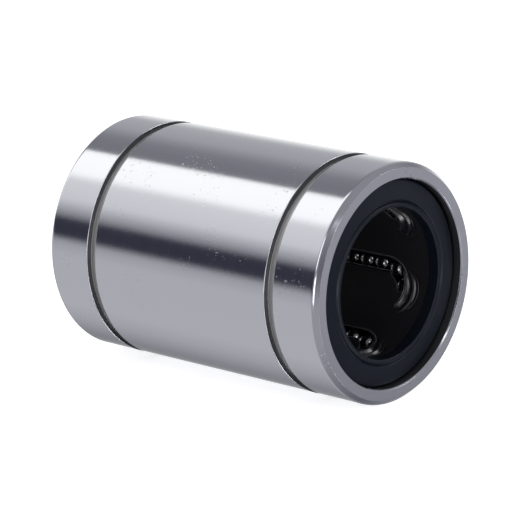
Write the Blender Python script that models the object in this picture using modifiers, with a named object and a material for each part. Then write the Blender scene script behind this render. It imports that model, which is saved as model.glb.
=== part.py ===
"""Linear ball bearing for a 25 mm shaft, 40 mm across outside, lying with its bore along X.

A ground steel sleeve holds a moulded ball retainer between two side rings. Six closed ball circuits
run in the retainer. In each one a row of balls carries the shaft, goes round a half turn, comes back
in a deeper row that carries nothing, and goes round a second half turn. The origin is on the bore's
axis, half way along the sleeve. Sizes are in metres and angles in degrees.
"""

import math

import bmesh
import bpy
from mathutils import Matrix

# Sleeve
SHAFT_DIAMETER = 0.025
SLEEVE_LENGTH = 0.059
SLEEVE_WALL = 0.0027
SLEEVE_CHAMFER = 0.0008
RING_GROOVE_SPAN = 0.041
RING_GROOVE_WIDTH = 0.00185
RING_GROOVE_DEPTH = 0.001
END_BORE_CHAMFER = 0.0005
SNAP_GROOVE_DEPTH = 0.0004
LAND_WIDTH = 0.0068
LAND_RELIEF = 0.00045
LAND_END_RAMP = 0.0006
RETURN_RELIEF_DEPTH = 0.001475
RETURN_RELIEF_STEP = 0.0001

# Balls and their circuits
BALL_DIAMETER = 0.003175
CIRCUIT_COUNT = 6
FIRST_CIRCUIT_ANGLE = -17.4
TURN_RADIUS = 0.00335
TURN_BALL_GAP = 0.00005
ROW_NECK_RADIUS = 0.00015
RACEWAY_CLEARANCE = 0.00005
RETURN_CLEARANCE = 0.00015
BALL_CLEARANCE = 0.00016

# Retainer
RETAINER_SHAFT_CLEARANCE = 0.0004
RETAINER_END_WALL = 0.0034
RETAINER_END_CHAMFER = 0.0004
SEAT_CLEARANCE = 0.0003

# Side rings
SIDE_RING_RECESS = 0.0011
SIDE_RING_THICKNESS = 0.0021
SIDE_RING_SHAFT_CLEARANCE = 0.0001
SIDE_RING_LIP_WIDTH = 0.0006
SIDE_RING_LIP_CHAMFER = 0.0001
LIP_GROOVE_WIDTH = 0.0005
LIP_GROOVE_DEPTH = 0.0003
SIDE_RING_FACE_FALL = 0.0008
SIDE_RING_EDGE_RADIUS = 0.0004
SIDE_RING_BEAD_WIDTH = 0.0008

# Faces round each form
SLEEVE_SEGMENTS = 48
RETAINER_SEGMENTS = 48
SIDE_RING_SEGMENTS = 36
LOAD_BALL_SEGMENTS = 6
RETURN_BALL_SEGMENTS = 5
TURN_BALL_SEGMENTS = 6
LOAD_BALL_ARCS = 4
RETURN_BALL_ARCS = 3
TURN_BALL_RINGS = 4
TURN_STEPS = 8
CHANNEL_FLOOR_STEPS = 6

# Places that follow from the sizes
SHAFT_RADIUS = SHAFT_DIAMETER / 2
BALL_RADIUS = BALL_DIAMETER / 2
HALF_LENGTH = SLEEVE_LENGTH / 2
RACEWAY_RADIUS = SHAFT_RADIUS + BALL_DIAMETER + RACEWAY_CLEARANCE
RELIEF_RADIUS = RACEWAY_RADIUS + RETURN_RELIEF_DEPTH
END_BORE_RADIUS = RELIEF_RADIUS + RETURN_RELIEF_STEP
SLEEVE_RADIUS = END_BORE_RADIUS + SLEEVE_WALL
LOAD_LANE_RADIUS = SHAFT_RADIUS + BALL_RADIUS
RETURN_LANE_RADIUS = RELIEF_RADIUS - RETURN_CLEARANCE - BALL_RADIUS
CHANNEL_RADIUS = BALL_RADIUS + BALL_CLEARANCE
RETAINER_BORE_RADIUS = SHAFT_RADIUS + RETAINER_SHAFT_CLEARANCE
RETAINER_RADIUS = RELIEF_RADIUS - SEAT_CLEARANCE
FLUTE_RADIUS = RACEWAY_RADIUS - SEAT_CLEARANCE
SIDE_RING_FRONT = HALF_LENGTH - SIDE_RING_RECESS
SIDE_RING_BACK = SIDE_RING_FRONT - SIDE_RING_THICKNESS
RETAINER_HALF_LENGTH = SIDE_RING_BACK - SEAT_CLEARANCE
CUTTER_MARGIN = 0.002

# A row's balls meet at small necks, so the pitch is a little under the diameter
ROW_NECK_ANGLE = math.asin(ROW_NECK_RADIUS / BALL_RADIUS)
ROW_PITCH = BALL_DIAMETER * math.cos(ROW_NECK_ANGLE)
TURN_STEP_ANGLE = 2 * math.asin((BALL_DIAMETER + TURN_BALL_GAP) / (2 * TURN_RADIUS))
ROW_END_GAP = TURN_RADIUS * (2 * TURN_STEP_ANGLE - math.pi / 2)
LONGEST_LANE = 2 * (RETAINER_HALF_LENGTH - RETAINER_END_WALL - CHANNEL_RADIUS - TURN_RADIUS)
BALLS_PER_ROW = 1 + int((LONGEST_LANE - 2 * ROW_END_GAP) / ROW_PITCH)
TURN_CENTRE = (BALLS_PER_ROW - 1) * ROW_PITCH / 2 + ROW_END_GAP
LAND_HALF_LENGTH = TURN_CENTRE + TURN_RADIUS + CHANNEL_RADIUS + SEAT_CLEARANCE
RACEWAY_HALF_LENGTH = TURN_CENTRE - BALL_RADIUS / 2

# The two lanes of a circuit lie a turn's diameter apart, at unlike depths
LANE_ANGLE = math.acos(
    (LOAD_LANE_RADIUS**2 + RETURN_LANE_RADIUS**2 - (2 * TURN_RADIUS) ** 2)
    / (2 * LOAD_LANE_RADIUS * RETURN_LANE_RADIUS)
)
LAND_HALF_ANGLE = math.asin(LAND_WIDTH / 2 / RACEWAY_RADIUS)
FLUTE_HALF_ANGLE = LAND_HALF_ANGLE + SEAT_CLEARANCE / FLUTE_RADIUS
CIRCUIT_STEP = 2 * math.pi / CIRCUIT_COUNT


def clear_scene():
    for obj in list(bpy.data.objects):
        bpy.data.objects.remove(obj, do_unlink=True)


def new_collection(name):
    made = bpy.data.collections.new(name)
    bpy.context.scene.collection.children.link(made)
    return made


def new_material(name, colour, roughness, metallic):
    made = bpy.data.materials.new(name)
    made.use_nodes = True
    shader = made.node_tree.nodes["Principled BSDF"]
    shader.inputs["Base Color"].default_value = (*colour, 1)
    shader.inputs["Roughness"].default_value = roughness
    shader.inputs["Metallic"].default_value = metallic
    made.diffuse_color = (*colour, 1)
    return made


def new_object(name, data, collection, material=None):
    made = bpy.data.objects.new(name, data)
    collection.objects.link(made)
    if material and not data.materials:
        data.materials.append(material)
    return made


def new_empty(name, collection, parent=None):
    made = new_object(name, None, collection)
    made.empty_display_size = BALL_DIAMETER
    made.parent = parent
    return made


def profile_mesh(name, points, closed):
    """The outline of a turned shape, from (radius, height) pairs."""
    mesh = bpy.data.meshes.new(name)
    edges = [(i, i + 1) for i in range(len(points) - 1)]
    if closed:
        edges.append((len(points) - 1, 0))
    mesh.from_pydata([(radius, 0, height) for radius, height in points], edges, [])
    return mesh


def turn_about_axis(obj, segments):
    screw = obj.modifiers.new("turned", "SCREW")
    screw.axis = "Z"
    screw.steps = segments
    screw.render_steps = segments
    screw.use_merge_vertices = True
    screw.merge_threshold = 0.00001
    screw.use_smooth_shade = True


def turned(name, points, segments, collection, material, closed=True):
    """A shape turned about X: heights run along +X."""
    obj = new_object(name, profile_mesh(name, points, closed), collection, material)
    obj.rotation_euler = (0, math.pi / 2, 0)
    turn_about_axis(obj, segments)
    return obj


def mesh_of_curve(curve, name, collection):
    """A closed mesh in place of a curve object, so that it can cut or be cut."""
    bpy.context.view_layer.update()
    graph = bpy.context.evaluated_depsgraph_get()
    mesh = bpy.data.meshes.new_from_object(curve.evaluated_get(graph))
    mesh.name = name
    welded = bmesh.new()
    welded.from_mesh(mesh)
    bmesh.ops.remove_doubles(welded, verts=welded.verts, dist=0.000001)
    bmesh.ops.recalc_face_normals(welded, faces=welded.faces)
    welded.to_mesh(mesh)
    welded.free()
    made = new_object(name, mesh, collection)
    made.matrix_world = curve.matrix_world
    bpy.data.objects.remove(curve, do_unlink=True)
    return made


def outline_curve(name, points, collection):
    data = bpy.data.curves.new(name, "CURVE")
    data.dimensions = "2D"
    spline = data.splines.new("POLY")
    spline.points.add(len(points) - 1)
    for point, (x, y) in zip(spline.points, points):
        point.co = (x, y, 0, 1)
    spline.use_cyclic_u = True
    return new_object(name, data, collection)


def as_cutter(obj):
    obj.hide_render = True
    obj.display_type = "WIRE"
    return obj


def cut(obj, cutter):
    boolean = obj.modifiers.new(cutter.name, "BOOLEAN")
    boolean.operation = "DIFFERENCE"
    boolean.solver = "EXACT"
    boolean.object = cutter


def arc(radius, start, end, steps):
    """Points (x, y) on an arc about the origin, both ends among them."""
    angles = [start + (end - start) * i / steps for i in range(steps + 1)]
    return [(radius * math.cos(a), radius * math.sin(a)) for a in angles]


def sector_cutter(name, inner, outer, half_angle, half_length, middle_angle, steps, collection):
    """A bar along X whose section is a piece of a ring, with its middle at one angle about X."""
    points = arc(outer, -half_angle, half_angle, steps) + arc(inner, half_angle, -half_angle, steps)
    curve = outline_curve(name, points, collection)
    curve.data.fill_mode = "BOTH"
    curve.data.extrude = half_length
    upright = Matrix.Rotation(math.pi / 2, 4, "Y") @ Matrix.Rotation(math.pi / 2, 4, "Z")
    curve.matrix_world = Matrix.Rotation(middle_angle, 4, "X") @ upright
    return as_cutter(mesh_of_curve(curve, name, collection))


def stadium(half_straight, radius, steps):
    """A racetrack outline along X about the origin."""
    front = arc(radius, -math.pi / 2, math.pi / 2, steps)
    rear = arc(radius, math.pi / 2, 3 * math.pi / 2, steps)
    return [(x + half_straight, y) for x, y in front] + [(x - half_straight, y) for x, y in rear]


def circuit_angle(index):
    return math.radians(FIRST_CIRCUIT_ANGLE) + index * CIRCUIT_STEP


def load_lane_angle(index):
    return circuit_angle(index) + LANE_ANGLE / 2


def lane_point(radius, angle):
    return radius * math.cos(angle), radius * math.sin(angle)


def circuit_plane():
    """The plane through both lanes of a circuit whose middle is at angle 0: local X along the bore,
    local Y from the loaded lane to the return lane, local Z out of the bearing."""
    load_y, load_z = lane_point(LOAD_LANE_RADIUS, LANE_ANGLE / 2)
    return_y, return_z = lane_point(RETURN_LANE_RADIUS, -LANE_ANGLE / 2)
    tilt = math.atan2(return_z - load_z, return_y - load_y)
    middle = Matrix.Translation((0, (load_y + return_y) / 2, (load_z + return_z) / 2))
    return middle @ Matrix.Rotation(tilt, 4, "X")


def mirrored_down(points):
    """A half outline from the top, followed by its mirror image below the middle."""
    return points + [(radius, -height) for radius, height in reversed(points)]


def sleeve_profile():
    outer = SLEEVE_RADIUS
    groove_floor = SLEEVE_RADIUS - RING_GROOVE_DEPTH
    groove_end = RING_GROOVE_SPAN / 2
    snap_top = SIDE_RING_BACK + SIDE_RING_THICKNESS / 2
    snap_bottom = snap_top - SIDE_RING_BEAD_WIDTH - 2 * SEAT_CLEARANCE
    outside = [
        (outer - SLEEVE_CHAMFER, HALF_LENGTH),
        (outer, HALF_LENGTH - SLEEVE_CHAMFER),
        (outer, groove_end),
        (groove_floor, groove_end),
        (groove_floor, groove_end - RING_GROOVE_WIDTH),
        (outer, groove_end - RING_GROOVE_WIDTH),
    ]
    inside = [
        (END_BORE_RADIUS + END_BORE_CHAMFER, HALF_LENGTH),
        (END_BORE_RADIUS, HALF_LENGTH - END_BORE_CHAMFER),
        (END_BORE_RADIUS, snap_top),
        (END_BORE_RADIUS + SNAP_GROOVE_DEPTH, snap_top),
        (END_BORE_RADIUS + SNAP_GROOVE_DEPTH, snap_bottom),
        (END_BORE_RADIUS, snap_bottom),
        (END_BORE_RADIUS, LAND_HALF_LENGTH),
        (RACEWAY_RADIUS + LAND_RELIEF, LAND_HALF_LENGTH),
        (RACEWAY_RADIUS + LAND_RELIEF, RACEWAY_HALF_LENGTH + LAND_END_RAMP),
        (RACEWAY_RADIUS, RACEWAY_HALF_LENGTH),
    ]
    return mirrored_down(outside) + mirrored_down(inside)[::-1]


def make_sleeve(parts, cutters, material):
    sleeve = turned("outer_sleeve", sleeve_profile(), SLEEVE_SEGMENTS, parts, material)
    for index in range(CIRCUIT_COUNT):
        relief = sector_cutter(
            f"return_relief_{index + 1}",
            RACEWAY_RADIUS - SEAT_CLEARANCE,
            RELIEF_RADIUS,
            CIRCUIT_STEP / 2 - LAND_HALF_ANGLE,
            LAND_HALF_LENGTH + SEAT_CLEARANCE,
            load_lane_angle(index) + CIRCUIT_STEP / 2,
            SLEEVE_SEGMENTS // CIRCUIT_COUNT // 2,
            cutters,
        )
        cut(sleeve, relief)


def retainer_profile():
    outside = [
        (RETAINER_RADIUS - RETAINER_END_CHAMFER, RETAINER_HALF_LENGTH),
        (RETAINER_RADIUS, RETAINER_HALF_LENGTH - RETAINER_END_CHAMFER),
    ]
    inside = [
        (RETAINER_BORE_RADIUS + RETAINER_END_CHAMFER, RETAINER_HALF_LENGTH),
        (RETAINER_BORE_RADIUS, RETAINER_HALF_LENGTH - RETAINER_END_CHAMFER),
    ]
    return mirrored_down(outside) + mirrored_down(inside)[::-1]


def channel_section():
    """The section of a ball channel: a round floor under straight walls that are open outwards."""
    floor = arc(CHANNEL_RADIUS, math.pi, 2 * math.pi, CHANNEL_FLOOR_STEPS)
    wall_top = RETAINER_RADIUS - RETAINER_BORE_RADIUS
    return floor + [(CHANNEL_RADIUS, wall_top), (-CHANNEL_RADIUS, wall_top)]


def channel_mesh(cutters):
    """One closed racetrack of a ball channel, swept round the circuit."""
    section = outline_curve("channel_section", channel_section(), cutters)
    path = outline_curve("channel_path", stadium(TURN_CENTRE, TURN_RADIUS, TURN_STEPS), cutters)
    path.data.bevel_mode = "OBJECT"
    path.data.bevel_object = section
    path.data.fill_mode = "NONE"
    swept = mesh_of_curve(path, "channel", cutters)
    bpy.data.objects.remove(section, do_unlink=True)
    mesh = swept.data
    bpy.data.objects.remove(swept, do_unlink=True)
    return mesh


def make_retainer(parts, cutters, material):
    retainer = turned("ball_retainer", retainer_profile(), RETAINER_SEGMENTS, parts, material)
    channel = channel_mesh(cutters)
    for index in range(CIRCUIT_COUNT):
        flute = sector_cutter(
            f"land_flute_{index + 1}",
            FLUTE_RADIUS,
            RETAINER_RADIUS + CUTTER_MARGIN,
            FLUTE_HALF_ANGLE,
            RETAINER_HALF_LENGTH + CUTTER_MARGIN,
            load_lane_angle(index),
            4,
            cutters,
        )
        cut(retainer, flute)
        track = as_cutter(new_object(f"ball_channel_{index + 1}", channel, cutters))
        track.matrix_world = Matrix.Rotation(circuit_angle(index), 4, "X") @ circuit_plane()
        cut(retainer, track)


def side_ring_profile():
    """The front ring's section: a lip that seals on the shaft, a fine groove round it, a face that falls
    outwards, and a bead that snaps into the sleeve."""
    bore = SHAFT_RADIUS + SIDE_RING_SHAFT_CLEARANCE
    outer = END_BORE_RADIUS - SEAT_CLEARANCE
    lip_edge = bore + SIDE_RING_LIP_WIDTH
    lip = [
        (bore, SIDE_RING_FRONT - SIDE_RING_LIP_CHAMFER),
        (bore + SIDE_RING_LIP_CHAMFER, SIDE_RING_FRONT),
        (lip_edge, SIDE_RING_FRONT),
        (lip_edge + LIP_GROOVE_WIDTH / 2, SIDE_RING_FRONT - LIP_GROOVE_DEPTH),
        (lip_edge + LIP_GROOVE_WIDTH, SIDE_RING_FRONT),
    ]
    edge_centre = (outer - SIDE_RING_EDGE_RADIUS, SIDE_RING_FRONT - SIDE_RING_FACE_FALL - SIDE_RING_EDGE_RADIUS)
    edge = [
        (edge_centre[0] + x, edge_centre[1] + z)
        for x, z in arc(SIDE_RING_EDGE_RADIUS, math.pi * 0.45, 0, 3)
    ]
    bead_top = SIDE_RING_BACK + SIDE_RING_THICKNESS / 2 - SEAT_CLEARANCE
    bead_bottom = bead_top - SIDE_RING_BEAD_WIDTH
    bead = [
        (outer, bead_top),
        (outer + SNAP_GROOVE_DEPTH, bead_top),
        (outer + SNAP_GROOVE_DEPTH, bead_bottom),
        (outer, bead_bottom),
        (outer, SIDE_RING_BACK),
    ]
    return lip + edge + bead + [(bore, SIDE_RING_BACK)]


def make_side_rings(parts, material):
    front = turned("side_ring_front", side_ring_profile(), SIDE_RING_SEGMENTS, parts, material)
    rear = new_object("side_ring_rear", front.data, parts)
    rear.rotation_euler = (0, -math.pi / 2, 0)
    turn_about_axis(rear, SIDE_RING_SEGMENTS)


def ball_row_profile(arcs):
    """A row of balls along the axis, from the top one's pole to the bottom one's pole."""
    points = []
    for ball in range(BALLS_PER_ROW):
        centre = ((BALLS_PER_ROW - 1) / 2 - ball) * ROW_PITCH
        start = 0 if ball == 0 else ROW_NECK_ANGLE
        end = math.pi if ball == BALLS_PER_ROW - 1 else math.pi - ROW_NECK_ANGLE
        first = 0 if ball == 0 else 1
        for step in range(first, arcs + 1):
            angle = start + (end - start) * step / arcs
            points.append((BALL_RADIUS * math.sin(angle), centre + BALL_RADIUS * math.cos(angle)))
    points[0] = (0, points[0][1])
    points[-1] = (0, points[-1][1])
    return points


def ball_mesh():
    mesh = bpy.data.meshes.new("ball")
    sphere = bmesh.new()
    bmesh.ops.create_uvsphere(
        sphere, u_segments=TURN_BALL_SEGMENTS, v_segments=TURN_BALL_RINGS, radius=BALL_RADIUS
    )
    sphere.to_mesh(mesh)
    sphere.free()
    mesh.shade_smooth()
    return mesh


def make_row(name, mesh, segments, radius, angle, parent, parts):
    """A straight row of balls with its origin on its own lane."""
    row = new_object(name, mesh, parts)
    row.parent = parent
    row.location = (0, *lane_point(radius, angle))
    row.rotation_euler = (0, math.pi / 2, 0)
    turn_about_axis(row, segments)


def make_turn(name, mesh, side, parent, parts):
    """The balls in one half turn, carried by an empty on the axis that they go round."""
    pivot = new_empty(name, parts, parent)
    pivot.matrix_local = circuit_plane() @ Matrix.Translation((side * TURN_CENTRE, 0, 0))
    for place in (-1, 0, 1):
        ball = new_object(f"{name}_ball_{place + 2}", mesh, parts)
        ball.parent = pivot
        angle = place * TURN_STEP_ANGLE
        ball.location = (side * TURN_RADIUS * math.cos(angle), side * TURN_RADIUS * math.sin(angle), 0)


def make_circuits(parts, material):
    load_row = profile_mesh("load_row", ball_row_profile(LOAD_BALL_ARCS), False)
    return_row = profile_mesh("return_row", ball_row_profile(RETURN_BALL_ARCS), False)
    ball = ball_mesh()
    for mesh in (load_row, return_row, ball):
        mesh.materials.append(material)
    for index in range(CIRCUIT_COUNT):
        number = index + 1
        circuit = new_empty(f"circuit_{number}", parts)
        circuit.rotation_euler = (circuit_angle(index), 0, 0)
        half = LANE_ANGLE / 2
        make_row(f"load_balls_{number}", load_row, LOAD_BALL_SEGMENTS, LOAD_LANE_RADIUS, half, circuit, parts)
        make_row(
            f"return_balls_{number}", return_row, RETURN_BALL_SEGMENTS, RETURN_LANE_RADIUS, -half, circuit, parts
        )
        make_turn(f"front_turn_{number}", ball, 1, circuit, parts)
        make_turn(f"rear_turn_{number}", ball, -1, circuit, parts)


def main():
    clear_scene()
    parts = new_collection("linear_ball_bearing")
    cutters = new_collection("cutters")
    ground_steel = new_material("ground_steel", (0.62, 0.62, 0.66), 0.22, 1.0)
    ball_steel = new_material("ball_steel", (0.80, 0.80, 0.82), 0.08, 1.0)
    black_moulding = new_material("black_moulding", (0.012, 0.012, 0.015), 0.38, 0.0)
    slate_ring = new_material("slate_ring", (0.016, 0.018, 0.028), 0.30, 0.0)
    make_sleeve(parts, cutters, ground_steel)
    make_retainer(parts, cutters, black_moulding)
    make_side_rings(parts, slate_ring)
    make_circuits(parts, ball_steel)


main()
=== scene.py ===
"""Looks of the linear ball bearing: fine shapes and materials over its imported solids.

Lengths are in metres and angles in degrees. The bore runs along X, and an angle round the bore is
measured from +Y towards +Z. A section is a list of (x, radius) pairs.
"""

import math

import bmesh
import bpy
from mathutils import Matrix, Vector

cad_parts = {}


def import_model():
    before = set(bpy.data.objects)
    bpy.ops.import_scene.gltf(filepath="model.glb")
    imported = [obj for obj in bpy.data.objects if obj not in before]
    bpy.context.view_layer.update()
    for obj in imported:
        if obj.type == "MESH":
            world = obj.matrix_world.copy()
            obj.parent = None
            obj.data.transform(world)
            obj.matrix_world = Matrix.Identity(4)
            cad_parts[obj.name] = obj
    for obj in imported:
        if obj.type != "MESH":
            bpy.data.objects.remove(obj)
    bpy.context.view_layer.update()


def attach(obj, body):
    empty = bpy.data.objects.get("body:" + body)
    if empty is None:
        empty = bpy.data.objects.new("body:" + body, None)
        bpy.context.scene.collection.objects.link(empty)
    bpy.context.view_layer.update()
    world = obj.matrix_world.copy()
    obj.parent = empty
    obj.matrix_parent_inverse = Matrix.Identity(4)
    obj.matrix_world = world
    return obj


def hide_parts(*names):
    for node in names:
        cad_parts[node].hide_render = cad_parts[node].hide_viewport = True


# Sleeve
HALF_LENGTH = 0.0295
SLEEVE_RADIUS = 0.020
OUTER_CHAMFER = 0.0008
OUTER_CHAMFER_ROUNDING = 0.0009
INNER_CHAMFER = 0.0002
GROOVE_OUTER_EDGE = 0.0205
GROOVE_INNER_EDGE = 0.01865
GROOVE_RADIUS = 0.019
GROOVE_EDGE_ROUNDING = 0.00012
GROOVE_FILLET = 0.00015
END_BORE_RADIUS = 0.0173
SNAP_GROOVE_FRONT = 0.02735
SNAP_GROOVE_BACK = 0.02595
SNAP_GROOVE_DEPTH = 0.0004
RELIEF_RADIUS = 0.0172
RACEWAY_RADIUS = 0.015725
RACEWAY_HALF_LENGTH = 0.01648
RACEWAY_RUN_OUT = 0.0006
LAND_END_RADIUS = RACEWAY_RADIUS + 0.00045
LAND_HALF_LENGTH = 0.02267
LAND_HALF_ANGLE = 12.49

# Ball circuits
CIRCUITS = 6
FIRST_CIRCUIT_ANGLE = -17.4
LANE_ANGLE = 25.667
LOAD_LANE_RADIUS = 0.0140875
RETURN_LANE_RADIUS = 0.0154625
TURN_CENTRE = 0.0172711
TURN_RADIUS = 0.00335
TURN_STEP_ANGLE = 57.55
BALL_RADIUS = 0.0015875
BALLS_PER_ROW = 11
ROW_PITCH = 0.00316079

# Retainer
RETAINER_RADIUS = 0.0169
RETAINER_BORE_RADIUS = 0.0129
RETAINER_HALF_LENGTH = 0.0260
RETAINER_END_ROUNDING = 0.0003
FLUTE_RADIUS = 0.015425
FLUTE_HALF_ANGLE = 13.60
CHANNEL_RADIUS = 0.0017475

# Rims at the openings of the loaded lanes: how far they lie from the edge of the opening, their
# radius, and its share along the side of smaller angles
RIM_OFFSET = 0.00028
RIM_RADIUS = 0.0001
THIN_RIM_SHARE = 0.55

# The lip round the front turn of the first circuit, and the ridge beyond it: place of the centre along
# the bore, angle from the circuit's middle, radius, degrees reached each way, and lean to one side
LIP_ARC = (0.0175, -3.1, 0.0046, 45, -0.15)
RIDGE_ARC = (0.01915, -4.4, 0.0047, 55, 0.1)
# Share of its full size that a lip or ridge keeps at its tips
TIP_SHARE = 0.2
# A ridge's section as (across, height): a rounded crest and a steep outer wall that ends in the
# pocket. A lip's section is the same, only wider
RIDGE_SECTION = [
    (-0.00050, -0.00015),
    (-0.00045, 0.00010),
    (-0.00033, 0.00024),
    (-0.00017, 0.00031),
    (-0.00006, 0.00029),
    (0.00002, 0.00021),
    (0.00012, 0.00005),
    (0.00022, -0.00012),
    (0.00032, -0.00028),
    (0.00041, -0.00044),
]
LIP_WIDENING = 1.35

# A pocket's depth beside its lip or ridge, how deep it still is where it runs out, and how far its
# cutter reaches into the bore
POCKET_DEPTH = 0.0005
POCKET_RUN_OUT_DEPTH = 0.00002
POCKET_OVERCUT = 0.0004
# Where the pockets beyond the lip and beyond the ridge run out, and where the fine line lies, each as
# (bulge, shift) from the ridge
LIP_POCKET_END = (0.0, 0.0009)
RIDGE_POCKET_END = (0.0008, 0.0005)
FINE_LINE = (0.0003, 0.0004)
FINE_LINE_RADIUS = 0.00012

# Side rings: the lip round the bore, the groove round the lip as distances from the bore, the edge of
# the face, and the bead that snaps into the sleeve
RING_FRONT = 0.0284
RING_BACK = 0.0263
RING_BORE_RADIUS = 0.01255
RING_BORE_CHAMFER = 0.0002
RING_LIP_WIDTH = 0.0006
RING_LIP_FALL = 0.00003
RING_GROOVE_DEPTH = 0.00045
RING_GROOVE_BOTTOM = 0.00090
RING_GROOVE_END = 0.0012
RING_FACE_SETBACK = 0.00008
RING_EDGE_SETBACK = 0.00048
RING_EDGE_WIDTH = 0.0002
RING_EDGE_LENGTH = 0.0013
RING_RADIUS = 0.01722
RING_BEAD_RADIUS = 0.0174
RING_BEAD_START = 0.0003
RING_BEAD_END = 0.00072

# The rounding of fine edges, the distance of the guard points beside a rounding, and how far flutes
# are cut past the retainer
FINE_ROUNDING = 0.00004
GUARD = 0.00004
OVERCUT = 0.002

# Steps of the sleeve and the side rings and of the retainer round the bore, of a channel and a rim
# round a half turn of a circuit, of a lip or ridge along its arc, across a flute or a channel's floor,
# and of a rounding
AROUND = 192
RETAINER_AROUND = 144
CHANNEL_STEPS = 20
RIM_STEPS = 24
CRESCENT_STEPS = 24
ARC_STEPS = 16
ROUNDING_STEPS = 4

# Angles under which neighbouring faces are shaded as one
SHARP = 35
SOFT_SHARP = 60

# Finishes of the sleeve, in the order of its materials; the last is dark with oxide and painted shade
GROUND, TURNED, OXIDE_AND_PAINTED_SHADE = range(3)


# Meshes


def cosine(angle):
    """The cosine of an angle in degrees."""
    return math.cos(math.radians(angle))


def sine(angle):
    """The sine of an angle in degrees."""
    return math.sin(math.radians(angle))


def turned(angle):
    """The matrix that turns round the bore by an angle."""
    return Matrix.Rotation(math.radians(angle), 4, "X")


def arc(centre, radius, start, end, steps):
    """Points on an arc, both ends among them."""
    angles = [start + (end - start) * i / steps for i in range(steps + 1)]
    return [(centre[0] + radius * cosine(a), centre[1] + radius * sine(a)) for a in angles]


def rounded(corners):
    """A closed section from (x, radius, rounding) corners. Each rounding sits between two guard points,
    so that the shading of the flats beside it stays flat."""
    points = []
    count = len(corners)
    for index, (x, y, rounding) in enumerate(corners):
        here = Vector((x, y))
        if not rounding:
            points.append((x, y))
            continue
        before = Vector(corners[index - 1][:2]) - here
        after = Vector(corners[(index + 1) % count][:2]) - here
        half = before.angle(after) / 2
        run = rounding / math.tan(half)
        start, end = here + before.normalized() * run, here + after.normalized() * run
        points.append(tuple(start + before.normalized() * GUARD))
        for step in range(ROUNDING_STEPS + 1):
            t = step / ROUNDING_STEPS
            one, two = start.lerp(here, t), here.lerp(end, t)
            points.append(tuple(one.lerp(two, t)))
        points.append(tuple(end + after.normalized() * GUARD))
    return points


def mirrored(points):
    """Half a section or outline, followed by its mirror image about x = 0."""
    return points + [(-x, *rest) for x, *rest in reversed(points)]


def new_mesh(name, vertices, faces, sharp=SHARP):
    """A welded mesh, smooth where its faces turn by less than the angle sharp."""
    mesh = bpy.data.meshes.new(name)
    mesh.from_pydata(vertices, [], faces)
    welded = bmesh.new()
    welded.from_mesh(mesh)
    bmesh.ops.remove_doubles(welded, verts=welded.verts, dist=0.0000005)
    bmesh.ops.recalc_face_normals(welded, faces=welded.faces)
    welded.to_mesh(mesh)
    welded.free()
    mesh.shade_smooth()
    mesh.set_sharp_from_angle(angle=math.radians(sharp))
    return mesh


def new_object(name, mesh, material=None):
    """An object in the scene, with the material if its mesh has none yet."""
    made = bpy.data.objects.new(name, mesh)
    bpy.context.scene.collection.objects.link(made)
    if material and not mesh.materials:
        mesh.materials.append(material)
    return made


def joined_sections(size, count, closed=True):
    """Faces from each closed section of that many points to the next. A closed run goes on from the
    last section to the first, and an open run has its two ends filled."""
    faces = []
    for i in range(count if closed else count - 1):
        a, b = i * size, (i + 1) % count * size
        faces += [(a + j, a + (j + 1) % size, b + (j + 1) % size, b + j) for j in range(size)]
    if not closed:
        faces += [tuple(range(size)), tuple(range((count - 1) * size, count * size))]
    return faces


def lathe(name, sections, angles):
    """A closed ring from one closed section at each angle round the bore."""
    vertices = []
    for section, angle in zip(sections, angles):
        vertices += [(x, r * cosine(angle), r * sine(angle)) for x, r in section]
    return new_mesh(name, vertices, joined_sections(len(sections[0]), len(angles)))


def even_angles(count):
    """That many angles spread evenly round the bore."""
    return [360 * i / count for i in range(count)]


def circuit_angle(index):
    """The angle half way between a circuit's two lanes."""
    return FIRST_CIRCUIT_ANGLE + index * 360 / CIRCUITS


def load_angle(index):
    """The angle of a circuit's loaded lane."""
    return circuit_angle(index) + LANE_ANGLE / 2


# Sleeve


def sleeve_section(land):
    """The sleeve's section on a raceway land, or between two of them."""
    inner = RACEWAY_RADIUS if land else RELIEF_RADIUS
    step = LAND_END_RADIUS if land else RELIEF_RADIUS
    half = [
        (GROOVE_INNER_EDGE, SLEEVE_RADIUS, GROOVE_EDGE_ROUNDING),
        (GROOVE_INNER_EDGE, GROOVE_RADIUS, GROOVE_FILLET),
        (GROOVE_OUTER_EDGE, GROOVE_RADIUS, GROOVE_FILLET),
        (GROOVE_OUTER_EDGE, SLEEVE_RADIUS, GROOVE_EDGE_ROUNDING),
        (HALF_LENGTH - OUTER_CHAMFER, SLEEVE_RADIUS, OUTER_CHAMFER_ROUNDING),
        (HALF_LENGTH, SLEEVE_RADIUS - OUTER_CHAMFER, FINE_ROUNDING / 2),
        (HALF_LENGTH, END_BORE_RADIUS + INNER_CHAMFER, FINE_ROUNDING),
        (HALF_LENGTH - INNER_CHAMFER, END_BORE_RADIUS, FINE_ROUNDING),
        (SNAP_GROOVE_FRONT, END_BORE_RADIUS, 0),
        (SNAP_GROOVE_FRONT, END_BORE_RADIUS + SNAP_GROOVE_DEPTH, 0),
        (SNAP_GROOVE_BACK, END_BORE_RADIUS + SNAP_GROOVE_DEPTH, 0),
        (SNAP_GROOVE_BACK, END_BORE_RADIUS, 0),
        (LAND_HALF_LENGTH, END_BORE_RADIUS, 0),
        (LAND_HALF_LENGTH, step, 0),
        (RACEWAY_HALF_LENGTH + RACEWAY_RUN_OUT, step, 0),
        (RACEWAY_HALF_LENGTH, inner, 0),
    ]
    return rounded([*half, *mirrored(half)[len(half):]])


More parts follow.
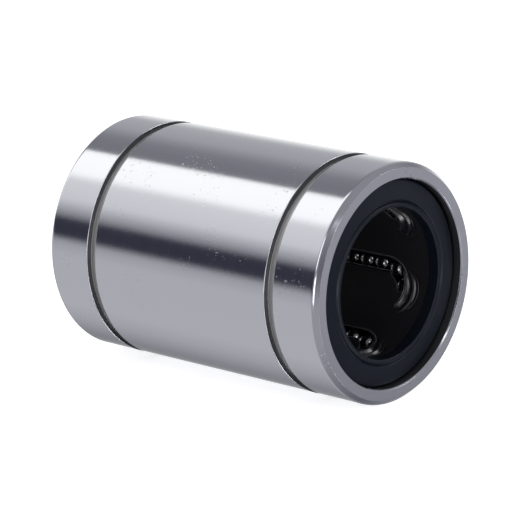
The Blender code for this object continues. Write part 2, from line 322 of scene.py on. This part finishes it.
def finish_of(face):
    """The finish of a face of the sleeve: turned on the floors of the ring grooves, dark on their walls
    with oxide and painted shade, dark with painted shade in the mouth of the bore, and ground
    elsewhere."""
    x, y, z = face.center
    slack = 0.00003
    radius = math.hypot(y, z)
    in_groove = GROOVE_INNER_EDGE - slack < abs(x) < GROOVE_OUTER_EDGE + slack
    if in_groove and GROOVE_RADIUS - slack < radius < SLEEVE_RADIUS - GROOVE_EDGE_ROUNDING:
        return TURNED if radius < GROOVE_RADIUS + slack else OXIDE_AND_PAINTED_SHADE
    in_mouth = radius < END_BORE_RADIUS + slack and RING_BACK < abs(x) < HALF_LENGTH - INNER_CHAMFER
    return OXIDE_AND_PAINTED_SHADE if in_mouth else GROUND


def make_sleeve(finishes):
    """The sleeve: its section changes at both edges of each raceway land."""
    land, relief = sleeve_section(True), sleeve_section(False)
    cuts = []
    for index in range(CIRCUITS):
        middle = load_angle(index)
        cuts += [(middle - LAND_HALF_ANGLE, relief, land), (middle + LAND_HALF_ANGLE, land, relief)]
    sections, angles = [], []
    for angle, before, after in cuts:
        sections += [before, after]
        angles += [angle, angle]
        span = 2 * LAND_HALF_ANGLE if after is land else 360 / CIRCUITS - 2 * LAND_HALF_ANGLE
        steps = round(span * AROUND / 360)
        for step in range(1, steps):
            sections.append(after)
            angles.append(angle + span * step / steps)
    mesh = lathe("ground_sleeve", sections, angles)
    for finish in finishes:
        mesh.materials.append(finish)
    for face in mesh.polygons:
        face.material_index = finish_of(face)
    return new_object("ground_sleeve", mesh)


# Retainer


def circuit_matrix(index):
    """The plane of a circuit: X along the bore, Y from the loaded lane to the return lane, and Z
    outwards."""
    half = LANE_ANGLE / 2
    load = Vector((0, LOAD_LANE_RADIUS * cosine(half), LOAD_LANE_RADIUS * sine(half)))
    back = Vector((0, RETURN_LANE_RADIUS * cosine(half), -RETURN_LANE_RADIUS * sine(half)))
    across = (back - load).normalized()
    outwards = Vector((1, 0, 0)).cross(across)
    frame = Matrix((Vector((1, 0, 0)), across, outwards)).transposed().to_4x4()
    frame.translation = (load + back) / 2
    return turned(circuit_angle(index)) @ frame


def racetrack(steps):
    """(point, outward normal) round a circuit in its own plane, from the start of the front turn."""
    found = []
    for side in (1, -1):
        for step in range(steps + 1):
            angle = -90 + 180 * step / steps
            normal = Vector((cosine(angle), sine(angle), 0)) * side
            centre = Vector((side * TURN_CENTRE, 0, 0))
            found.append((centre + normal * TURN_RADIUS, normal))
    return found


def swept(name, track, section):
    """A section of (outwards, up) pairs swept along a closed track of (point, normal)."""
    vertices = []
    up = Vector((0, 0, 1))
    for point, normal in track:
        vertices += [point + normal * x + up * y for x, y in section]
    return new_mesh(name, vertices, joined_sections(len(section), len(track)))


def bar_mesh(name, inner, outer, half_angle, half_length):
    """A bar along X whose section is a piece of a ring about angle 0."""
    shares = [-1 + 2 * step / ARC_STEPS for step in range(ARC_STEPS + 1)]
    outline = [(outer, half_angle * share) for share in shares]
    outline += [(inner, -half_angle * share) for share in shares]
    vertices = []
    for x in (-half_length, half_length):
        vertices += [(x, r * cosine(a), r * sine(a)) for r, a in outline]
    return new_mesh(name, vertices, joined_sections(len(outline), 2, closed=False))


def cut(obj, tools, sharp):
    """Cuts every (mesh, matrix) out of the object, and shades the result anew."""
    cutters = []
    for mesh, matrix in tools:
        cutter = new_object("cutter", mesh)
        cutter.matrix_world = matrix
        change = obj.modifiers.new("cut", "BOOLEAN")
        change.operation = "DIFFERENCE"
        change.solver = "MANIFOLD"
        change.object = cutter
        cutters.append(cutter)
    bpy.context.view_layer.update()
    graph = bpy.context.evaluated_depsgraph_get()
    mesh = bpy.data.meshes.new_from_object(obj.evaluated_get(graph))
    obj.modifiers.clear()
    obj.data = mesh
    mesh.shade_smooth()
    mesh.set_sharp_from_angle(angle=math.radians(sharp))
    for cutter in cutters:
        bpy.data.objects.remove(cutter)


def retainer_blank():
    """The retainer as a plain tube."""
    half = [
        (RETAINER_HALF_LENGTH, RETAINER_RADIUS, RETAINER_END_ROUNDING),
        (RETAINER_HALF_LENGTH, RETAINER_BORE_RADIUS, FINE_ROUNDING),
    ]
    section = rounded([*half, *mirrored(half)[len(half):]])
    return lathe("moulded_retainer", [section] * RETAINER_AROUND, even_angles(RETAINER_AROUND))


def channel_mesh():
    """A cutter for the way of one circuit's balls."""
    floor = arc((0, 0), CHANNEL_RADIUS, 180, 360, ARC_STEPS)
    wall = RETAINER_RADIUS - RETAINER_BORE_RADIUS
    section = [*floor, (CHANNEL_RADIUS, wall), (-CHANNEL_RADIUS, wall)]
    return swept("channel", racetrack(CHANNEL_STEPS), section)


def make_retainer(material):
    """A tube with a flute over each raceway land, a channel for each circuit, and shallow pockets
    beyond the lips and ridges."""
    retainer = new_object("moulded_retainer", retainer_blank(), material)
    reach = RETAINER_HALF_LENGTH + OVERCUT
    flute = bar_mesh("flute", FLUTE_RADIUS, RETAINER_RADIUS + OVERCUT, FLUTE_HALF_ANGLE, reach)
    channel = channel_mesh()
    edges = [(lip_path(), ridge_path(*LIP_POCKET_END)), (ridge_path(), ridge_path(*RIDGE_POCKET_END))]
    pockets = [pocket_mesh(near, far) for near, far in edges]
    pockets += [pocket_mesh(mirrored_path(near), mirrored_path(far)) for near, far in edges]
    tools = []
    for index in range(CIRCUITS):
        tools.append((flute, turned(load_angle(index))))
        tools.append((channel, circuit_matrix(index)))
        tools += [(pocket, turned(index * 360 / CIRCUITS)) for pocket in pockets]
    cut(retainer, tools, SHARP)
    return retainer


# Rims, lips, ridges and pockets on the retainer's bore


def on_bore(x, angle, depth=0.0):
    """A point at that depth under the retainer's bore wall."""
    radius = RETAINER_BORE_RADIUS + depth
    return Vector((x, radius * cosine(angle), radius * sine(angle)))


def mirrored_path(path):
    """The same path at the rear end."""
    return [(-x, *rest) for x, *rest in reversed(path)]


def bead(path, section, closed=False):
    """Vertices and faces of a section of (across, height) swept over the bore wall along a path of
    (x, angle round the bore, share of its size)."""
    points = [on_bore(x, angle) for x, angle, _ in path]
    vertices = []
    count = len(path)
    for i, point in enumerate(points):
        after = points[(i + 1) % count] if closed or i < count - 1 else point
        before = points[i - 1] if closed or i > 0 else point
        outwards = Vector((0, point.y, point.z)).normalized()
        across = outwards.cross(after - before).normalized()
        share = path[i][2]
        vertices += [point + share * (side * across - height * outwards) for side, height in section]
    return vertices, joined_sections(len(section), count, closed)


def round_section(radius):
    """A ten-sided round section, sunk by a third of its radius."""
    return arc((0, -radius / 3), radius, 0, 324, 9)


def opening_edge(point, normal, side):
    """(x, angle) where a channel's floor meets the bore on one side of its path, found by halving, or
    None where it doesn't."""
    matrix = circuit_matrix(0)

    def floor_at(rise):
        """The point of the channel's round floor that many degrees up from its bottom."""
        spot = normal * side * sine(rise) - Vector((0, 0, cosine(rise)))
        return matrix @ (point + CHANNEL_RADIUS * spot)

    low, high = 0, 90
    if math.hypot(*floor_at(low).yz) > RETAINER_BORE_RADIUS:
        return None
    for _ in range(20):
        middle = (low + high) / 2
        if math.hypot(*floor_at(middle).yz) < RETAINER_BORE_RADIUS:
            low = middle
        else:
            high = middle
    found = floor_at(low)
    return found.x, math.degrees(math.atan2(found.z, found.y))


def rim_path():
    """The outline of the opening of a loaded lane and its turns, moved away from the middle angle of
    the front turn's opening. The lane's straight edge of smaller angles lies on the far side of that
    middle, so the rim along it moves into the opening and grazes the balls."""
    turn = racetrack(RIM_STEPS)[: RIM_STEPS + 1]
    outer = [opening_edge(point, normal, 1) for point, normal in turn]
    inner = [opening_edge(point, normal, -1) for point, normal in turn]
    front = [spot for spot in outer if spot] + [spot for spot in reversed(inner) if spot]
    middle = sum(angle for _, angle in front) / len(front)
    shift = math.degrees(RIM_OFFSET / RETAINER_BORE_RADIUS)
    spread = []
    for x, angle in mirrored(front):
        away = RIM_OFFSET if abs(x) > TURN_CENTRE else 0
        share = 1 if angle > middle else THIN_RIM_SHARE
        spread.append((x + math.copysign(away, x), angle + math.copysign(shift, angle - middle), share))
    return spread


def crescent_path(centre, angle, radius, reach, lean, bulge=0.0):
    """An arc on the bore wall, tapering to its ends and fuller on one side by the share lean. Bulge
    moves its middle outwards."""
    path = []
    for step in range(CRESCENT_STEPS + 1):
        share = -1 + 2 * step / CRESCENT_STEPS
        turn = reach * share
        out = radius + bulge * cosine(90 * share)
        across = FIRST_CIRCUIT_ANGLE + angle + math.degrees(out * sine(turn) / RETAINER_BORE_RADIUS)
        swell = math.sqrt(max(0, 1 - share * share)) * (1 + lean * share)
        path.append((centre + out * cosine(turn), across, TIP_SHARE + (1 - TIP_SHARE) * swell))
    return path


def lip_path():
    """The lip that guides the balls round the front turn."""
    return crescent_path(*LIP_ARC)


def ridge_path(bulge=0.0, shift=0.0):
    """The ridge beyond the lip, or an edge or line outside it."""
    centre, *rest = RIDGE_ARC
    return crescent_path(centre + shift, *rest, bulge)


def pocket_mesh(near, far):
    """A cutter for the shallow pocket outside a lip or ridge: deep at its near edge, running out at
    its far edge."""
    vertices = []
    for (x, angle, share), (far_x, far_angle, _) in zip(near, far):
        vertices += [on_bore(x, angle, POCKET_DEPTH * share), on_bore(x, angle, -POCKET_OVERCUT)]
        vertices.append(on_bore(far_x, far_angle, -POCKET_OVERCUT))
        vertices.append(on_bore(far_x, far_angle, POCKET_RUN_OUT_DEPTH))
    return new_mesh("pocket", vertices, joined_sections(4, len(near), closed=False))


def repeated(name, beads, material):
    """One object of beads made for the first circuit and turned to all of them."""
    vertices, faces = [], []
    for index in range(CIRCUITS):
        place = turned(index * 360 / CIRCUITS)
        for made, joined in beads:
            start = len(vertices)
            vertices += [place @ spot for spot in made]
            faces += [tuple(start + corner for corner in face) for face in joined]
    return new_object(name, new_mesh(name, vertices, faces, SOFT_SHARP), material)


def make_rims(material):
    """The thin rims at the openings of the loaded lanes."""
    return repeated("opening_rims", [bead(rim_path(), round_section(RIM_RADIUS), True)], material)


def at_both_ends(path, section):
    """A bead along the path, and another along its mirror image."""
    return [bead(path, section), bead(mirrored_path(path), section)]


def make_ridges(material):
    """The ridges beyond the lips, each with a fine line outside it."""
    ridge = at_both_ends(ridge_path(), RIDGE_SECTION)
    line = at_both_ends(ridge_path(*FINE_LINE), round_section(FINE_LINE_RADIUS))
    return repeated("turn_ridges", ridge + line, material)


def make_lips(material):
    """The lips round the turns, kept clear of the balls' way."""
    wide = [(across * LIP_WIDENING, height) for across, height in RIDGE_SECTION]
    lips = repeated("turn_lips", at_both_ends(lip_path(), wide), material)
    channel = channel_mesh()
    cut(lips, [(channel, circuit_matrix(index)) for index in range(CIRCUITS)], SOFT_SHARP)
    return lips


# Side rings


def ring_section():
    """A flat lip with a fine groove round it, and a face that falls away to a rounded edge."""
    inner = RING_BORE_RADIUS
    outline = [
        (RING_BACK + RING_BORE_CHAMFER, inner, 0),
        (RING_FRONT - RING_LIP_FALL, inner, 0.00008),
        (RING_FRONT, inner + RING_LIP_WIDTH, 0.00016),
        (RING_FRONT - RING_GROOVE_DEPTH, inner + RING_GROOVE_BOTTOM, 0.00006),
        (RING_FRONT - RING_FACE_SETBACK, inner + RING_GROOVE_END, 0.00008),
        (RING_FRONT - RING_EDGE_SETBACK, RING_RADIUS - RING_EDGE_WIDTH, 0.00035),
        (RING_FRONT - RING_EDGE_LENGTH, RING_RADIUS, 0),
        (RING_BACK + RING_BEAD_END, RING_RADIUS, 0),
        (RING_BACK + RING_BEAD_END, RING_BEAD_RADIUS, 0),
        (RING_BACK + RING_BEAD_START, RING_BEAD_RADIUS, 0),
        (RING_BACK + RING_BEAD_START, RING_RADIUS, 0),
        (RING_BACK, RING_RADIUS, 0),
        (RING_BACK, inner + RING_BORE_CHAMFER, 0),
    ]
    return rounded(outline[::-1])


def make_rings(material):
    """The front ring, and its mirror image at the rear."""
    rings = []
    for name, side in (("front_side_ring", 1), ("rear_side_ring", -1)):
        section = [(side * x, r) for x, r in ring_section()]
        rings.append(new_object(name, lathe(name, [section] * AROUND, even_angles(AROUND)), material))
    return rings


# Balls


def balls_mesh(name, centres):
    """One mesh of whole balls at those centres."""
    sphere = bmesh.new()
    for centre in centres:
        bmesh.ops.create_uvsphere(
            sphere, u_segments=28, v_segments=16, radius=BALL_RADIUS, matrix=Matrix.Translation(centre)
        )
    mesh = bpy.data.meshes.new(name)
    sphere.to_mesh(mesh)
    sphere.free()
    mesh.shade_smooth()
    return mesh


def ride_in_place(obj, body, nodes):
    """The piece goes with that body and stands for those solids."""
    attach(obj, body)
    if nodes:
        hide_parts(*nodes)


def make_balls(material):
    """The two rows of every circuit, and the three balls of each of its half turns."""
    middle = (BALLS_PER_ROW - 1) / 2
    row_centres = [((i - middle) * ROW_PITCH, 0, 0) for i in range(BALLS_PER_ROW)]
    turn_angles = (-TURN_STEP_ANGLE, 0, TURN_STEP_ANGLE)
    turn_centres = [(TURN_RADIUS * cosine(a), TURN_RADIUS * sine(a), 0) for a in turn_angles]
    row = balls_mesh("row_of_balls", row_centres)
    turn = balls_mesh("turn_of_balls", turn_centres)
    row.materials.append(material)
    turn.materials.append(material)
    for index in range(CIRCUITS):
        number = index + 1
        lanes = (("load", LOAD_LANE_RADIUS, 0.5), ("return", RETURN_LANE_RADIUS, -0.5))
        for lane, radius, share in lanes:
            angle = circuit_angle(index) + share * LANE_ANGLE
            made = new_object(f"{lane}_row_{number}_balls", row)
            made.location = (0, radius * cosine(angle), radius * sine(angle))
            ride_in_place(made, f"{lane}_row_{number}", [f"{lane}_balls_{number}"])
        for end, side, half_turn in (("front", 1, 0), ("rear", -1, 180)):
            body = f"{end}_turn_{number}"
            made = new_object(f"{body}_balls", turn)
            shift = Matrix.Translation((side * TURN_CENTRE, 0, 0))
            flip = Matrix.Rotation(math.radians(half_turn), 4, "Z")
            made.matrix_world = circuit_matrix(index) @ shift @ flip
            ride_in_place(made, body, [f"{body}_ball_{i}" for i in (1, 2, 3)])


# Shader nodes


def add_node(tree, kind, **values):
    """A node with its sockets and settings filled in: a socket by its name with _ for a space."""
    node = tree.nodes.new(kind)
    for key, value in values.items():
        socket = node.inputs.get(key.replace("_", " "))
        if socket is None:
            setattr(node, key, value)
        else:
            socket.default_value = value
    return node


def add_noise(tree, scale, detail, stretch=(1, 1, 1)):
    """Noise over the object's own coordinates, in metres."""
    place = add_node(tree, "ShaderNodeTexCoord")
    mapping = add_node(tree, "ShaderNodeMapping", Scale=stretch)
    noise = add_node(tree, "ShaderNodeTexNoise", Scale=scale, Detail=detail)
    tree.links.new(place.outputs["Object"], mapping.inputs["Vector"])
    tree.links.new(mapping.outputs["Vector"], noise.inputs["Vector"])
    return noise.outputs["Fac"]


def add_range(tree, value, low, high):
    """The value, from 0 to 1, spread between low and high."""
    node = add_node(tree, "ShaderNodeMapRange", To_Min=low, To_Max=high)
    tree.links.new(value, node.inputs["Value"])
    return node.outputs["Result"]


def add_bump(tree, shader, height, distance, under=None):
    """Relief of that depth for the shader, over another relief if one is given."""
    bump = add_node(tree, "ShaderNodeBump", Distance=distance)
    tree.links.new(height, bump.inputs["Height"])
    if under:
        tree.links.new(under, bump.inputs["Normal"])
    tree.links.new(bump.outputs["Normal"], shader.inputs["Normal"])
    return bump.outputs["Normal"]


def add_math(tree, operation, *values):
    """A maths node over sockets and numbers."""
    node = add_node(tree, "ShaderNodeMath", operation=operation)
    for socket, value in zip(node.inputs, values):
        if isinstance(value, bpy.types.NodeSocket):
            tree.links.new(value, socket)
        else:
            socket.default_value = value
    return node.outputs[0]


def add_mix(tree, share, first, second):
    """A colour between two colours, each a socket or a value."""
    mix = add_node(tree, "ShaderNodeMix", data_type="RGBA")
    tree.links.new(share, mix.inputs["Factor"])
    for socket, value in ((mix.inputs[6], first), (mix.inputs[7], second)):
        if isinstance(value, bpy.types.NodeSocket):
            tree.links.new(value, socket)
        else:
            socket.default_value = value
    return mix.outputs[2]


def add_dot(tree, direction, vector):
    """How far a direction goes along a vector."""
    dot = add_node(tree, "ShaderNodeVectorMath", operation="DOT_PRODUCT")
    dot.inputs[1].default_value = vector
    tree.links.new(direction, dot.inputs[0])
    return dot.outputs["Value"]


def add_step(tree, value, low, high):
    """From 0 at low to 1 at high."""
    node = add_node(tree, "ShaderNodeMapRange", From_Min=low, From_Max=high)
    tree.links.new(value, node.inputs["Value"])
    return node.outputs["Result"]


# Materials


def new_material(name, colour, roughness, metallic):
    """A material, its node tree and its shader."""
    made = bpy.data.materials.new(name)
    made.use_nodes = True
    shader = made.node_tree.nodes["Principled BSDF"]
    shader.inputs["Base Color"].default_value = (*colour, 1)
    shader.inputs["Roughness"].default_value = roughness
    shader.inputs["Metallic"].default_value = metallic
    return made, made.node_tree, shader


def ground_steel():
    """Grinding marks run round the barrel, over a slight waviness, with a few small nicks."""
    made, tree, shader = new_material("ground_steel", (0.62, 0.63, 0.69), roughness=0.12, metallic=1.0)
    grind = add_noise(tree, scale=4000, detail=3, stretch=(1, 0.02, 0.02))
    wave = add_noise(tree, scale=1500, detail=4)
    patches = add_step(tree, add_noise(tree, scale=110, detail=1), low=0.55, high=0.62)
    specks = add_step(tree, add_noise(tree, scale=2200, detail=2), low=0.66, high=0.70)
    nicks = add_math(tree, "MULTIPLY", specks, patches)
    satin = add_range(tree, grind, low=0.08, high=0.16)
    worn = add_math(tree, "MULTIPLY_ADD", nicks, 0.3, satin)
    tree.links.new(worn, shader.inputs["Roughness"])
    relief = add_bump(tree, shader, grind, distance=0.0000022)
    relief = add_bump(tree, shader, wave, distance=0.0000035, under=relief)
    add_bump(tree, shader, nicks, distance=0.000008, under=relief)
    return made


def turned_steel(name, colour, dullest):
    """Steel as the lathe left it: dull, with marks that run round it."""
    made, tree, shader = new_material(name, colour, roughness=dullest, metallic=1.0)
    marks = add_noise(tree, scale=3000, detail=3, stretch=(1, 0.05, 0.05))
    dullness = add_range(tree, marks, low=dullest - 0.14, high=dullest)
    tree.links.new(dullness, shader.inputs["Roughness"])
    add_bump(tree, shader, marks, distance=0.000003)
    return made


def ball_steel():
    """Polished balls with painted shade: their colour is darker than bare steel, for the dim bore round
    them.
    """
    made, tree, shader = new_material("ball_steel", (0.24, 0.24, 0.25), roughness=0.06, metallic=1.0)
    polish = add_range(tree, add_noise(tree, scale=900, detail=2), low=0.04, high=0.09)
    tree.links.new(polish, shader.inputs["Roughness"])
    return made


def black_moulding():
    """The retainer's moulding, with a fine grain."""
    colour = (0.013, 0.0125, 0.016)
    made, tree, shader = new_material("black_moulding", colour, roughness=0.30, metallic=0.0)
    grain = add_noise(tree, scale=2500, detail=3)
    tree.links.new(add_range(tree, grain, low=0.26, high=0.36), shader.inputs["Roughness"])
    add_bump(tree, shader, grain, distance=0.000004)
    return made


def polished_moulding(name, gloss):
    """The moulding where the mould leaves it smooth."""
    made, tree, shader = new_material(name, (0.018, 0.018, 0.022), roughness=0.2, metallic=0.0)
    shader.inputs["Specular IOR Level"].default_value = gloss
    polish = add_range(tree, add_noise(tree, scale=2500, detail=3), low=0.12, high=0.26)
    tree.links.new(polish, shader.inputs["Roughness"])
    return made


def painted_highlight_moulding():
    """The moulding of the rims at the lane openings, paler than the rest as a painted highlight along
    the edges.
    """
    colour = (0.10, 0.105, 0.115)
    made, tree, shader = new_material("painted_highlight_moulding", colour, roughness=0.25, metallic=0.0)
    polish = add_range(tree, add_noise(tree, scale=3000, detail=2), low=0.2, high=0.32)
    tree.links.new(polish, shader.inputs["Roughness"])
    return made


def slate_ring():
    """The side rings' moulding, dark with a cool sheen."""
    made, tree, shader = new_material("slate_ring", (0.003, 0.005, 0.010), roughness=0.36, metallic=0.0)
    shader.inputs["Specular Tint"].default_value = (0.82, 0.88, 1.0, 1)
    grain = add_noise(tree, scale=1800, detail=3)
    tree.links.new(add_range(tree, grain, low=0.31, high=0.41), shader.inputs["Roughness"])
    add_bump(tree, shader, grain, distance=0.000005)
    return made


# Studio

# (angle round the bore's direction, brightness) of the cards round the barrel. From 90 degrees on they
# are an overhead strip light, a pale side wall, a black flag beside the camera, the table, the dim gap
# under the back light, and the back light
BARREL_STUDIO = [
    (-42, 0.30),
    (-35, 0.36),
    (-27, 0.98),
    (-16, 1.22),
    (-8, 1.14),
    (-2, 1.08),
    (6, 0.95),
    (14, 0.72),
    (22, 0.54),
    (48, 0.49),
    (66, 0.29),
    (88, 0.23),
    (90.5, 1.55),
    (117, 1.5),
    (125, 0.95),
    (145, 0.88),
    (160, 0.35),
    (166, 0.045),
    (181, 0.045),
    (188, 0.50),
    (200, 0.62),
    (256, 0.62),
    (275, 0.52),
    (302, 0.31),
    (311, 0.29),
]
# The same for the dimmer side that the front end looks to. Both fade to a dark core in line with the
# bore
FRONT_STUDIO = [
    (-18, 0.15),
    (15, 0.20),
    (38, 0.35),
    (81, 0.35),
    (136, 0.28),
    (168, 0.23),
    (200, 0.43),
    (240, 0.42),
    (290, 0.19),
    (305, 0.15),
    (325, 0.17),
]
# (direction, half width, half height, brightness) of the soft boxes that only the front end and the
# bore see: a tall strip in line with the bore, one beside the camera that shows in the balls, one
# above that shows in the chamfer, a dim card that shows in the end face, and the two that light the
# upper and the lower turns
SOFTBOXES = [
    ((1.0, -0.16, 0.0), 11, 38, 3.6),
    ((0.50, -0.865, -0.03), 10, 10, 2.6),
    ((0.24, -0.83, 0.50), 10, 14, 1.4),
    ((0.66, 0.754, -0.051), 8, 14, 0.28),
    ((0.63, 0.15, -0.76), 11, 11, 3.6),
    ((0.60, 0.63, 0.50), 9, 9, 4.0),
]
CORE_BRIGHTNESS = 0.03
# Where along the bore's direction one studio gives way to the other, and the other to the core
FRONT_BLEND = (-0.25, 0.05)
CORE_BLEND = (0.76, 0.85)
# Share of its size over which the edge of a soft box fades to each side
EDGE_BLUR = 0.15
# Angle at which the ramps of cards begin and end
SEAM = 230
HAZE = 0.02
WARMTH = 0.04

# The photograph's view, as fitted to the outlines of the sleeve: the camera's bearing, height and
# distance, and how far right and up of the origin it aims
CAMERA_AZIMUTH = 41.2105
CAMERA_ELEVATION = 13.9553
CAMERA_DISTANCE = 0.5388
CAMERA_LENS_MM = 223.02
CAMERA_SENSOR_MM = 36
AIM_RIGHT = 0.000283
AIM_UP = -0.000698


def ramp_of(tree, stops):
    """A ramp of cards round the bore's direction: dim ones a little blue, bright ones a little warm."""
    node = add_node(tree, "ShaderNodeValToRGB")
    elements = node.color_ramp.elements
    placed = sorted(((a - SEAM) % 360 / 360, value) for a, value in stops)
    while len(elements) < len(placed):
        elements.new(0.5)
    for element, (place, value) in zip(elements, placed):
        element.position = place
        element.color = (value, value, value * (1 - WARMTH * value) + HAZE, 1)
    return node


def add_softbox(tree, direction, centre, half_width, half_height, brightness):
    """The light of a soft box with blurred edges, seen in a direction."""
    forward = Vector(centre).normalized()
    side = Vector((0, 0, 1)).cross(forward).normalized()
    ahead = add_math(tree, "MAXIMUM", add_dot(tree, direction, forward), 0.001)
    lit = brightness
    for across, half in ((side, half_width), (forward.cross(side), half_height)):
        slope = add_math(tree, "DIVIDE", add_dot(tree, direction, across), ahead)
        edge = math.tan(math.radians(half))
        outer, inner = edge * (1 + EDGE_BLUR), edge * (1 - EDGE_BLUR)
        inside = add_step(tree, add_math(tree, "ABSOLUTE", slope), outer, inner)
        lit = add_math(tree, "MULTIPLY", inside, lit)
    return lit


def make_world():
    """The studio round the part: two rings of cards, a dark core and the soft boxes."""
    world = bpy.data.worlds.new("studio")
    world.use_nodes = True
    tree = world.node_tree
    direction = add_node(tree, "ShaderNodeTexCoord").outputs["Generated"]
    parts = add_node(tree, "ShaderNodeSeparateXYZ")
    tree.links.new(direction, parts.inputs["Vector"])
    angle = add_math(tree, "ARCTAN2", parts.outputs["Z"], parts.outputs["Y"])
    from_seam = add_math(tree, "SUBTRACT", angle, math.radians(SEAM))
    wrapped = add_math(tree, "WRAP", from_seam, 2 * math.pi, 0.0)
    share = add_math(tree, "DIVIDE", wrapped, 2 * math.pi)
    cards = []
    for stops in (BARREL_STUDIO, FRONT_STUDIO):
        ramp = ramp_of(tree, stops)
        tree.links.new(share, ramp.inputs["Fac"])
        cards.append(ramp.outputs["Color"])
    sides = add_mix(tree, add_step(tree, parts.outputs["X"], *FRONT_BLEND), *cards)
    core = (CORE_BRIGHTNESS, CORE_BRIGHTNESS, CORE_BRIGHTNESS, 1)
    dim = add_mix(tree, add_step(tree, parts.outputs["X"], *CORE_BLEND), sides, core)
    lit = 0.0
    for box in SOFTBOXES:
        lit = add_math(tree, "ADD", add_softbox(tree, direction, *box), lit)
    total = add_node(tree, "ShaderNodeVectorMath", operation="ADD")
    tree.links.new(dim, total.inputs[0])
    tree.links.new(lit, total.inputs[1])
    tree.links.new(total.outputs["Vector"], tree.nodes["Background"].inputs["Color"])
    bpy.context.scene.world = world
    bpy.context.scene.view_settings.view_transform = "Standard"


def make_floor():
    """A pale floor just under the sleeve, left out of all reflections."""
    half = 4
    gap = 0.00002
    z = -SLEEVE_RADIUS - gap
    corners = [(-half, -half, z), (half, -half, z), (half, half, z), (-half, half, z)]
    made, tree, shader = new_material("floor", (0.86, 0.86, 0.87), roughness=0.8, metallic=0.0)
    shader.inputs["Emission Color"].default_value = (1, 1, 1, 1)
    shader.inputs["Emission Strength"].default_value = 0.72
    floor = new_object("floor", new_mesh("floor", corners, [(0, 1, 2, 3)]), made)
    floor.visible_glossy = False


def make_camera():
    """The camera, level and as the photograph's stood."""
    level, rise = cosine(CAMERA_ELEVATION), sine(CAMERA_ELEVATION)
    right = Vector((cosine(CAMERA_AZIMUTH), sine(CAMERA_AZIMUTH), 0))
    back = Vector((sine(CAMERA_AZIMUTH) * level, -cosine(CAMERA_AZIMUTH) * level, rise))
    up = back.cross(right)
    data = bpy.data.cameras.new("camera")
    data.lens = CAMERA_LENS_MM
    data.sensor_width = CAMERA_SENSOR_MM
    data.clip_start = 0.01
    camera = bpy.data.objects.new("camera", data)
    bpy.context.scene.collection.objects.link(camera)
    target = right * AIM_RIGHT + up * AIM_UP
    frame = Matrix((right, up, back)).transposed().to_4x4()
    camera.matrix_world = Matrix.Translation(target + back * CAMERA_DISTANCE) @ frame
    bpy.context.scene.camera = camera


def main():
    """Builds the whole scene."""
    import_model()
    floor_steel = turned_steel("groove_floor_steel", (0.62, 0.62, 0.63), dullest=0.62)
    # Dark steel: oxide with painted shade on the groove walls, and painted shade in the mouth of the
    # bore
    oxide_and_painted_shade_steel = turned_steel("oxide_and_painted_shade_steel", (0.20, 0.20, 0.21), dullest=0.46)
    sleeve = make_sleeve([ground_steel(), floor_steel, oxide_and_painted_shade_steel])
    ride_in_place(sleeve, "root", ["outer_sleeve"])
    moulding = black_moulding()
    ride_in_place(make_retainer(moulding), "root", ["ball_retainer"])
    glossy_moulding = polished_moulding("glossy_moulding", gloss=1.0)
    ride_in_place(make_lips(glossy_moulding), "root", [])
    smooth_moulding = polished_moulding("smooth_moulding", gloss=0.45)
    ride_in_place(make_ridges(smooth_moulding), "root", [])
    # The rims' pale moulding is a painted highlight
    ride_in_place(make_rims(painted_highlight_moulding()), "root", [])
    front, rear = make_rings(slate_ring())
    ride_in_place(front, "root", ["side_ring_front"])
    ride_in_place(rear, "root", ["side_ring_rear"])
    make_balls(ball_steel())
    make_world()
    make_floor()
    make_camera()


main()
